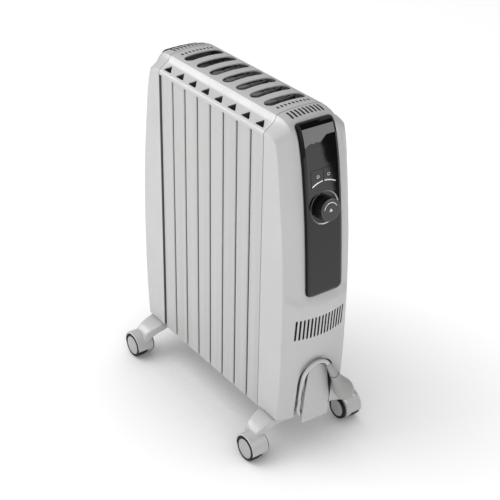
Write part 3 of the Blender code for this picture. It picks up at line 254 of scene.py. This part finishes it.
def noise(material, scale, detail, stretch=None):
    """Noise in the row frame, so it stays on its body."""
    place = add_node(material, "ShaderNodeTexCoord")
    texture = add_node(material, "ShaderNodeTexNoise", Scale=scale, Detail=detail)
    source = place.outputs["Object"]
    if stretch:
        mapping = add_node(material, "ShaderNodeMapping", Scale=stretch)
        link(material, source, mapping.inputs["Vector"])
        source = mapping.outputs["Vector"]
    link(material, source, texture.inputs["Vector"])
    return texture.outputs["Fac"]


def map_range(material, source, low, high, start=NOISE_LOW, stop=NOISE_HIGH):
    """Start to stop of the source, brought to low to high."""
    node = add_node(material, "ShaderNodeMapRange")
    for key, value in (("From Min", start), ("From Max", stop), ("To Min", low), ("To Max", high)):
        node.inputs[key].default_value = value
    link(material, source, node.inputs["Value"])
    return node.outputs["Result"]


def mix_colour(material, factor, first, second):
    """A mix of two colours, each a tuple or another node's output."""
    node = add_node(material, "ShaderNodeMix", data_type="RGBA")
    link(material, factor, node.inputs[0])
    for socket, value in ((node.inputs[6], first), (node.inputs[7], second)):
        if isinstance(value, tuple):
            socket.default_value = (*value, 1.0)
        else:
            link(material, value, socket)
    return node.outputs[2]


def scaled(colour, factor):
    return tuple(min(1.0, c * factor) for c in colour)


def shaded_gaps(material, colour, reach):
    """Painted shade: the colour, darker where other surfaces stand closer than the reach."""
    gaps = add_node(material, "ShaderNodeAmbientOcclusion", Distance=reach, samples=GAP_SAMPLES)
    link(material, colour, gaps.inputs["Color"])
    kept = map_range(material, gaps.outputs["AO"], *GAP_KEPT, *GAP_OPEN)
    return mix_colour(material, kept, PAINTED_GAP_SHADE, colour)


def finish_surface(name, base, roughness, grain, depth, mottle=0.03, spread=0.05, stretch=None,
                   reach=0.0, streak=None, **look):
    """A surface with uneven colour and gloss, and a grain of a scale and a depth in metres; with a
    reach, also painted shade where other surfaces stand closer than it.
    """
    material = new_material(name, base, roughness, **look)
    shader = material.node_tree.nodes["Principled BSDF"]
    patches = map_range(material, noise(material, PATCH_SCALE, PATCH_DETAIL, streak), 0.0, 1.0)
    colour = mix_colour(material, patches, scaled(base, 1.0 - mottle), scaled(base, 1.0 + mottle))
    # Painted shade where other surfaces stand close.
    if reach:
        colour = shaded_gaps(material, colour, reach)
    link(material, colour, shader.inputs["Base Color"])
    fine = noise(material, grain, GRAIN_DETAIL, stretch)
    gloss = map_range(material, noise(material, GLOSS_SCALE, GLOSS_DETAIL),
                      roughness - spread, roughness + spread)
    link(material, gloss, shader.inputs["Roughness"])
    bump = add_node(material, "ShaderNodeBump", Strength=1.0, Distance=depth)
    link(material, fine, bump.inputs["Height"])
    link(material, bump.outputs["Normal"], shader.inputs["Normal"])
    return material


# The finish of each of the record's material slots.
# A finish with a reach gets painted shade in its gaps and hollows.
MATERIALS = {
    # The vertical streaks of tone on the fins are partly painted shade, for the light and dark bands
    # of the folds; the reach adds painted shade in gaps.
    "body_white": finish_surface("satin_paint", PAINT, 0.36, grain=1500.0, depth=0.00003,
                                 mottle=0.05, reach=0.05, streak=(9.0, 1.0, 0.12)),
    "cover_white": finish_surface("cover_paint", COVER, 0.38, grain=1700.0, depth=0.00003,
                                  reach=0.04),
    "panel_black": finish_surface("panel_gloss", PANEL_BLACK, 0.05, grain=700.0, depth=0.000002,
                                  mottle=0.10, spread=0.01),
    "knob_black": finish_surface("knob_satin", (0.045, 0.045, 0.047), 0.34, grain=2600.0,
                                 depth=0.00003, mottle=0.06),
    "trim_silver": finish_surface("trim_silver", (0.55, 0.55, 0.56), 0.36, grain=500.0,
                                  depth=0.000006, metallic=0.6, stretch=(1.0, 1.0, 0.1)),
    "lamp_lens": finish_surface("lamp_lens", (0.012, 0.006, 0.005), 0.12, grain=900.0,
                                depth=0.00001, mottle=0.2, spread=0.03, coat=0.5),
    "inner_plastic": finish_surface("inner_plastic", (0.05, 0.05, 0.055), 0.50, grain=1200.0,
                                    depth=0.00005),
    "steel": finish_surface("bright_steel", (0.56, 0.56, 0.57), 0.30, grain=300.0, depth=0.00001,
                            metallic=1.0, stretch=(0.15, 1.0, 1.0), reach=0.04),
    "brass": finish_surface("brass", (0.72, 0.54, 0.25), 0.28, grain=500.0, depth=0.00001,
                            metallic=1.0),
    "cord_white": finish_surface("cord_pvc", (0.60, 0.60, 0.59), 0.42, grain=1400.0,
                                 depth=0.00004, reach=0.012),
    # Painted shade: the white plug gets a grey, darker than the cord's white, for the shade it sits
    # in.
    "plug_white": finish_surface("plug_pvc_painted_shade", (0.37, 0.37, 0.365), 0.44, grain=2200.0,
                                 depth=0.00006),
    "hub_grey": finish_surface("hub_plastic", (0.44, 0.44, 0.44), 0.38, grain=1800.0,
                               depth=0.00004),
    "tyre_black": finish_surface("tyre_rubber", (0.009, 0.009, 0.009), 0.66, grain=900.0,
                                 depth=0.00008, specular=0.3, mottle=0.15),
}
PRINT = finish_surface("white_print", PRINT_WHITE, 0.35, grain=2500.0, depth=0.00001)
# Painted shade: a dark strip where the joint between the covers and the body lies in shadow.
SEAM_SHADE = finish_surface("seam_painted_shade", (0.11, 0.11, 0.11), 0.6, grain=1500.0, depth=0.00003)
# Painted shade: near black on the walls of the slots and vents, which lie in shadow.
SHADED_CUT_WALLS = finish_surface("slot_walls_painted_shade", (0.07, 0.07, 0.07), 0.6, grain=1500.0, depth=0.00003)
# Near black and dull: a less glossy finish on the panel's sides, and painted shade on the knob's
# sides, darker than the knob's own colour.
DULL_SIDES_AND_KNOB_SHADE = finish_surface("dull_sides_knob_painted_shade", (0.006, 0.006, 0.006), 0.35, grain=900.0, depth=0.00001,
                            mottle=0.10, specular=0.12)
CHROME = finish_surface("silver_trim_bright", SILVER, 0.22, grain=900.0, depth=0.000006,
                        metallic=1.0)


# ---- CAD nodes: finish and smooth shading --------------------------------------------
def smooth_group(name, degrees):
    """Edges sharper than an angle stay sharp."""
    group = bpy.data.node_groups.new(name, "GeometryNodeTree")
    for way in ("INPUT", "OUTPUT"):
        group.interface.new_socket("Geometry", in_out=way, socket_type="NodeSocketGeometry")
    start = group.nodes.new("NodeGroupInput")
    end = group.nodes.new("NodeGroupOutput")
    angle = group.nodes.new("GeometryNodeInputMeshEdgeAngle")
    compare = group.nodes.new("FunctionNodeCompare")
    compare.operation = "GREATER_THAN"
    compare.inputs["B"].default_value = math.radians(degrees)
    group.links.new(angle.outputs["Unsigned Angle"], compare.inputs["A"])
    sharpen = group.nodes.new("GeometryNodeSetShadeSmooth")
    sharpen.domain = "EDGE"
    sharpen.inputs["Shade Smooth"].default_value = False
    group.links.new(start.outputs["Geometry"], sharpen.inputs["Geometry"])
    group.links.new(compare.outputs["Result"], sharpen.inputs["Selection"])
    group.links.new(sharpen.outputs["Geometry"], end.inputs["Geometry"])
    return group


def smooth(obj, group, welded=True):
    """Smooth shading between the edges that the group keeps sharp."""
    mesh = obj.data
    if "custom_normal" in mesh.attributes:
        mesh.attributes.remove(mesh.attributes["custom_normal"])
    mesh.polygons.foreach_set("use_smooth", [True] * len(mesh.polygons))
    if welded:
        weld = obj.modifiers.new("weld", "WELD")
        weld.merge_threshold = WELD_REACH
    by_angle = obj.modifiers.new("by_angle", "NODES")
    by_angle.node_group = group
    weighted = obj.modifiers.new("weighted", "WEIGHTED_NORMAL")
    weighted.keep_sharp = True
    weighted.weight = NORMAL_WEIGHT


SMOOTH = smooth_group("smooth_by_angle", SHARP_ANGLE)
FACETED = smooth_group("faceted_by_angle", PANEL_SHARP_ANGLE)


def in_slot(polygon):
    """Whether a cover's face is a wall of one of the narrow slots or of a vent, which gets painted
    shade.
    """
    x, y, z = abs(polygon.center.x), abs(polygon.center.y), polygon.center.z
    if z > SLOT_FLOOR_Z:
        return x > SLOT_ROWS_X and y < SLOT_REACH_Y and abs(polygon.normal.z) < WALL_FACING
    low, high = VENT_Z
    return (x > VENT_X and y < VENT_REACH_Y and low < z < high
            and abs(polygon.normal.x) < WALL_FACING)


def second_finish(node, material, chosen):
    """Gives the chosen faces of a node another material."""
    node.data.materials.append(material)
    for polygon in node.data.polygons:
        polygon.material_index = int(chosen(polygon))


def dress_nodes():
    """Each CAD node's finish, with painted shade on the walls of cuts and on the knob's sides, and a
    duller black on the panel's sides.
    """
    slots = {part["node"]: part["material_slot"] for part in frame["record"]["subparts"]}
    knob_out = panel_axes(KNOB_Z).col[2].to_3d()
    for name, node in NODES.items():
        for holder in node.material_slots:
            holder.material = MATERIALS[slots[name]]
        if name.endswith("_panel"):
            second_finish(node, DULL_SIDES_AND_KNOB_SHADE, lambda face: abs(face.normal.y) > SIDE_FACING)
        # The knob's sides get painted shade, darker than its face.
        if name == "thermostat_knob":
            second_finish(node, DULL_SIDES_AND_KNOB_SHADE,
                          lambda face: abs(face.normal.dot(knob_out)) < SIDE_FACING)
        if name.endswith("_cover"):
            # Painted shade on the walls of slots and vents.
            second_finish(node, SHADED_CUT_WALLS, in_slot)
        smooth(node, FACETED if name.endswith("_panel") else SMOOTH)


# ---- New pieces ----------------------------------------------------------------------
def keep(name, mesh, material, body):
    """A new piece that rides on a body."""
    obj = add_object(name, mesh)
    mesh.materials.append(material)
    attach(obj, body)
    return obj


def between(table, value):
    """A table's second column at a value of its first, which falls from row to row."""
    for (high, first), (low, last) in zip(table, table[1:]):
        if value >= low:
            return first + (last - first) * (high - value) / (high - low)
    return table[-1][1]


def panel_axes(z):
    """Across the panel, up along it and out of it, from the cover's line under it."""
    rise = between(PANEL_LINE, z + SLOPE_STEP) - between(PANEL_LINE, z - SLOPE_STEP)
    up = Vector((rise, 0.0, 2 * SLOPE_STEP))
    up.normalize()
    out = Vector((up.z, 0.0, -up.x))
    axes = Matrix((Vector((0.0, 1.0, 0.0)), up, out)).transposed().to_4x4()
    axes.translation = (between(PANEL_LINE, z), 0.0, z)
    return axes


def flat_piece(name, outlines, low, high, axes, material, body, bevel):
    """Flat marks, with rounded edges where a bevel is given, raised a little from the face they are
    on.
    """
    bm = bmesh.new()
    for outline in outlines:
        bottom = [bm.verts.new(axes @ Vector((u, v, low))) for u, v in outline]
        top = [bm.verts.new(axes @ Vector((u, v, high))) for u, v in outline]
        bm.faces.new(bottom[::-1])
        bm.faces.new(top)
        for i in range(len(outline)):
            j = (i + 1) % len(outline)
            bm.faces.new((bottom[i], bottom[j], top[j], top[i]))
    obj = keep(name, mesh_from(name, bm), material, body)
    if bevel:
        edge = obj.modifiers.new("edge", "BEVEL")
        edge.width = bevel
        edge.segments = BEVEL_STEPS
        edge.limit_method = "ANGLE"
    smooth(obj, SMOOTH, welded=False)


def band(radius, half_width, start, end, steps=ARC_STEPS, centre=(0.0, 0.0)):
    """The outline of an arc-shaped strip, between two angles in degrees."""
    angles = [math.radians(start + (end - start) * i / steps) for i in range(steps + 1)]

    def side(r, turns):
        return [(centre[0] + r * math.cos(a), centre[1] + r * math.sin(a)) for a in turns]
    return side(radius + half_width, angles) + side(radius - half_width, reversed(angles))


def make_marks():
    """The knob's arc and pointer, and a strip and a small ring on each key."""
    knob = panel_axes(KNOB_Z)
    low, high = KNOB_FACE - KNOB_MARK_SINK, KNOB_FACE + MARK_RISE
    flat_piece("knob_arc", [band(*KNOB_ARC)], low, high, knob, CHROME, "knob", MARK_BEVEL)
    flat_piece("knob_pointer", [POINTER], low, high, knob, PRINT, "knob", FINE_BEVEL)

    keys = panel_axes(KNOB_Z + BUTTON_RISE)
    low, high = BUTTON_FACE - KEY_MARK_SINK, BUTTON_FACE + MARK_RISE
    for name, (side, ring_angles, bar) in KEY_MARKS.items():
        body = f"key_{name}"
        angles = [90 - side * angle for angle in STRIP_ANGLES]
        strip = band(BUTTON_ARC_R + STRIP_OUT, STRIP_HALF, *angles, STRIP_STEPS,
                     (0.0, -BUTTON_RISE))
        flat_piece(f"key_strip_{name}", [strip], low, BUTTON_FACE + STRIP_MARK_RISE, keys, CHROME,
                   body, FINE_BEVEL)
        middle = (side * RING_MIDDLE[0], RING_MIDDLE[1])
        ring = [band(RING_R, RING_HALF, *ring_angles, centre=middle)]
        if bar:
            ring.append([(middle[0] + u, middle[1] + v) for u, v in bar])
        flat_piece(f"key_icon_{name}", ring, low, high, keys, PRINT, body, 0.0)


def make_seam_shade():
    """A dark strip of painted shade along the joint between each end cover and the body, and over the
    top cover's edge.
    """
    half = [COVER_FOOT, *reversed(COVER_ARCH)]
    line = [(-y, z) for y, z in half] + half[-2::-1]
    corners = ((SEAM_SHADE_X[0], -SEAM_SHADE_DEPTH), (SEAM_SHADE_X[0], SEAM_SHADE_RISE), (SEAM_SHADE_X[1], SEAM_SHADE_RISE),
               (SEAM_SHADE_X[1], -SEAM_SHADE_DEPTH))
    for side, end in ((1, "control"), (-1, "rear")):
        bm = bmesh.new()
        rows = []
        for x, lift in corners:
            row = []
            for i, (y, z) in enumerate(line):
                before, after = line[max(0, i - 1)], line[min(len(line) - 1, i + 1)]
                out = Vector((before[1] - after[1], after[0] - before[0])).normalized()
                row.append(bm.verts.new((side * x, y + lift * out.x, z + lift * out.y)))
            rows.append(row)
        for row, following in zip(rows, rows[1:] + rows[:1]):
            for i in range(len(row) - 1):
                bm.faces.new((row[i], row[i + 1], following[i + 1], following[i]))
        bm.faces.new([row[0] for row in rows])
        bm.faces.new([row[-1] for row in rows])
        name = f"{end}_seal"
        seam_shade_strip = keep(name, mesh_from(name, bm), SEAM_SHADE, "heater")
        smooth(seam_shade_strip, SMOOTH, welded=False)


def turned(name, profile, x, side, capped):
    """A round piece on a wheel's axle line, from its profile of radius and height."""
    middle = (INNER_WHEEL_Y[0] + INNER_WHEEL_Y[1]) / 2
    half = (INNER_WHEEL_Y[1] - INNER_WHEEL_Y[0]) / 2
    angles = [2 * math.pi * i / WHEEL_STEPS for i in range(WHEEL_STEPS)]
    bm = bmesh.new()
    rings = []
    for radius, height in profile:
        y = side * (middle + height * half)
        rings.append([bm.verts.new((x + radius * math.cos(a), y, WHEEL_Z + radius * math.sin(a)))
                      for a in angles])
    for ring, following in zip(rings, rings[1:]):
        for i in range(WHEEL_STEPS):
            j = (i + 1) % WHEEL_STEPS
            bm.faces.new((ring[i], ring[j], following[j], following[i]))
    if capped:
        bm.faces.new(rings[0])
        bm.faces.new(rings[-1])
    return mesh_from(name, bm)


def make_inner_wheels():
    """The wheels' inner discs, on the side of the drums that faces the middle."""
    for end, x in (("front", WHEEL_X), ("rear", -WHEEL_X)):
        for place, side in (("near", -1), ("far", 1)):
            for kind, profile, slot_name in (("tyre", INNER_TYRE, "tyre_black"),
                                             ("hub", INNER_HUB, "hub_grey")):
                name = f"{end}_{place}_inner_{kind}"
                mesh = turned(name, profile, x, side, capped=kind == "hub")
                disc = keep(name, mesh, MATERIALS[slot_name], f"{end}_{place}_wheel")
                smooth(disc, SMOOTH, welded=False)


# ---- Cord ----------------------------------------------------------------------------
def loop_place(share, inwards):
    """A point of the storage loop, moved inwards: share 0 to 1 is from the near side's foot, up
    and over."""
    top_r, low_r = TURN_R - inwards, TURN_LOW_R - inwards
    height = TURN_TOP_Z - TURN_LOW_Z
    lean = math.asin((TURN_LOW_R - TURN_R) / height)
    straight = height * math.cos(lean)
    runs = (straight, top_r * (math.pi + 2 * lean), straight, low_r * (math.pi - 2 * lean))
    near = Vector((-math.cos(lean), -math.sin(lean)))
    far = Vector((math.cos(lean), -math.sin(lean)))
    top, low = Vector((0.0, TURN_TOP_Z)), Vector((0.0, TURN_LOW_Z))
    way = (share % 1.0) * sum(runs)
    if way < runs[0]:
        return (low + low_r * near).lerp(top + top_r * near, way / runs[0])
    way -= runs[0]
    if way < runs[1]:
        angle = math.pi + lean - way / top_r
        return top + top_r * Vector((math.cos(angle), math.sin(angle)))
    way -= runs[1]
    if way < runs[2]:
        return (top + top_r * far).lerp(low + low_r * far, way / runs[2])
    way -= runs[2]
    angle = -lean - way / low_r
    return low + low_r * Vector((math.cos(angle), math.sin(angle)))


def winding():
    """Nearly six turns, in three columns of two layers each, from the back outwards."""
    inner = 2 * CORD_R
    places = ((COLUMNS[0], inner), (COLUMNS[0], 0.0), (COLUMNS[1], 0.0), (COLUMNS[1], inner),
              (COLUMNS[2], inner), (COLUMNS[2], 0.0))
    points = []
    count = round((TURN_END - TURN_START) * TURN_STEPS)
    for i in range(count + 1):
        along = (TURN_END - TURN_START) * i / count
        turn = min(int(along), len(places) - 1)
        following = min(turn + 1, len(places) - 1)
        change = max(0.0, (along - turn - CHANGE_START) / CHANGE_SHARE)
        change = change * change * (3 - 2 * change)
        x = places[turn][0] * (1 - change) + places[following][0] * change
        inwards = places[turn][1] * (1 - change) + places[following][1] * change
        y, z = loop_place(TURN_START + along, inwards)
        points.append(Vector((x, y, z)))
    return points


def smooth_line(route, spacing):
    """Evenly spaced points on a smooth curve through the route's points."""
    route = [Vector(p) for p in route]
    ends = [2 * route[0] - route[1]] + route + [2 * route[-1] - route[-2]]
    fine = []
    for a, b, c, d in zip(ends, ends[1:], ends[2:], ends[3:]):
        for i in range(CURVE_STEPS):
            t = i / CURVE_STEPS
            fine.append(0.5 * (2 * b + (c - a) * t + (2 * a - 5 * b + 4 * c - d) * t * t
                               + (3 * b - a - 3 * c + d) * t ** 3))
    fine.append(route[-1])
    lengths = [0.0]
    for p, following in zip(fine, fine[1:]):
        lengths.append(lengths[-1] + (following - p).length)
    count = round(lengths[-1] / spacing)
    points, k = [], 0
    for i in range(count + 1):
        want = lengths[-1] * i / count
        while k < len(fine) - 2 and lengths[k + 1] < want:
            k += 1
        share = (want - lengths[k]) / (lengths[k + 1] - lengths[k])
        points.append(fine[k].lerp(fine[k + 1], share))
    return points


def cord_route():
    """From the gland round the storage tongue, over it and down to the plug."""
    tail = list(TAIL_START)
    for angle, x in TAIL_ARC:
        a = math.radians(angle)
        tail.append((x, TAIL_CENTRE[0] + TAIL_R * math.cos(a), TAIL_CENTRE[1] + TAIL_R * math.sin(a)))
    tail.append(TAIL_END)
    points = smooth_line([*ENTRY, *winding(), *tail], CORD_SPACING)
    points.append(points[-1] + PLUG_LEAD * Vector(PLUG_AXIS).normalized())
    return points


def make_cord():
    points = cord_route()
    curve = bpy.data.curves.new("mains_cord", "CURVE")
    curve.dimensions = "3D"
    curve.bevel_depth = CORD_R
    curve.bevel_resolution = CORD_ROUNDING
    curve.use_fill_caps = True
    spline = curve.splines.new("POLY")
    spline.points.add(len(points) - 1)
    for point, place in zip(spline.points, points):
        point.co = (*place, 1.0)
    spline.use_smooth = True
    curve.materials.append(MATERIALS["cord_white"])
    cord = add_object("mains_cord", curve)
    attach(cord, "heater")
    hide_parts("cord_winding", "cord_tail")


# ---- Floor and light -----------------------------------------------------------------
def sheet(name, corners):
    bm = bmesh.new()
    bm.faces.new([bm.verts.new(corner) for corner in corners])
    return add_object(name, mesh_from(name, bm, closed=False))


def make_floor():
    """Pale paper with a faint glow, and painted shadow, in its colour and its glow, close to the
    heater.
    """
    floor = sheet("floor", [(x, y, 0.0) for x, y in FLOOR_EDGE])
    paper = finish_surface("floor_paper", (0.90, 0.90, 0.90), 0.7, grain=40.0, depth=0.0,
                           mottle=0.004, specular=0.1)
    shader = paper.node_tree.nodes["Principled BSDF"]
    # Painted shadow: the floor's colour and glow darken where ambient occlusion finds the heater
    # close.
    near = add_node(paper, "ShaderNodeAmbientOcclusion", Distance=FLOOR_REACH,
                    samples=FLOOR_SAMPLES)
    shade = map_range(paper, near.outputs["AO"], 0.0, 1.0, *FLOOR_OPEN)
    tint = mix_colour(paper, shade, FLOOR_PAINTED_SHADOW, FLOOR_PALE)
    link(paper, tint, shader.inputs["Base Color"])
    link(paper, tint, shader.inputs["Emission Color"])
    shader.inputs["Emission Strength"].default_value = FLOOR_GLOW
    floor.data.materials.append(paper)


def make_cards():
    """Upright boards that only mirror-like surfaces see."""
    middle = Vector(PANEL_MIDDLE)
    for name, (corners, radiance) in CARDS.items():
        points = []
        for azimuth, height in corners:
            a = math.radians(azimuth)
            points.append(middle + CARD_DISTANCE * Vector((math.cos(a), math.sin(a), 0.0)))
            points[-1].z = height
        card = sheet(name, points)
        board = new_material(name, CARD_BASE, 0.9, specular=0.0)
        shader = board.node_tree.nodes["Principled BSDF"]
        shader.inputs["Emission Color"].default_value = (1.0, 1.0, 1.0, 1.0)
        shader.inputs["Emission Strength"].default_value = radiance
        card.data.materials.append(board)
        card.visible_camera = False
        card.visible_diffuse = False
        card.visible_shadow = False


def area_light(name, place, target, size, power):
    data = bpy.data.lights.new(name, "AREA")
    data.shape = "RECTANGLE"
    data.size, data.size_y = size
    data.energy = power
    light = add_object(name, data)
    light.location = place
    light.visible_camera = False
    light.rotation_mode = "QUATERNION"
    light.rotation_quaternion = (Vector(target) - Vector(place)).to_track_quat("-Z", "Y")
    return light


def make_light():
    """A pale studio, dimmer towards the horizon, with soft boxes on the near side and the front."""
    world = bpy.data.worlds.new("studio")
    bpy.context.scene.world = world
    world.use_nodes = True
    nodes, links = world.node_tree.nodes, world.node_tree.links
    background = nodes["Background"]
    place = nodes.new("ShaderNodeTexCoord")
    split = nodes.new("ShaderNodeSeparateXYZ")
    links.new(place.outputs["Generated"], split.inputs["Vector"])
    ramp = nodes.new("ShaderNodeValToRGB")
    low, high = ramp.color_ramp.elements
    low.position, low.color = 0.0, WORLD_LOW
    high.position, high.color = WORLD_HIGH_FROM, WORLD_HIGH
    links.new(split.outputs["Z"], ramp.inputs["Fac"])
    links.new(ramp.outputs["Color"], background.inputs["Color"])
    background.inputs["Strength"].default_value = WORLD_STRENGTH
    for name, (spot, target, size, power, matt) in LIGHTS.items():
        area_light(name, spot, target, size, power).visible_diffuse = matt
    bpy.context.scene.view_settings.view_transform = "Standard"


make_camera()
make_cord()
dress_nodes()
make_marks()
make_seam_shade()
make_inner_wheels()
make_floor()
make_cards()
make_light()
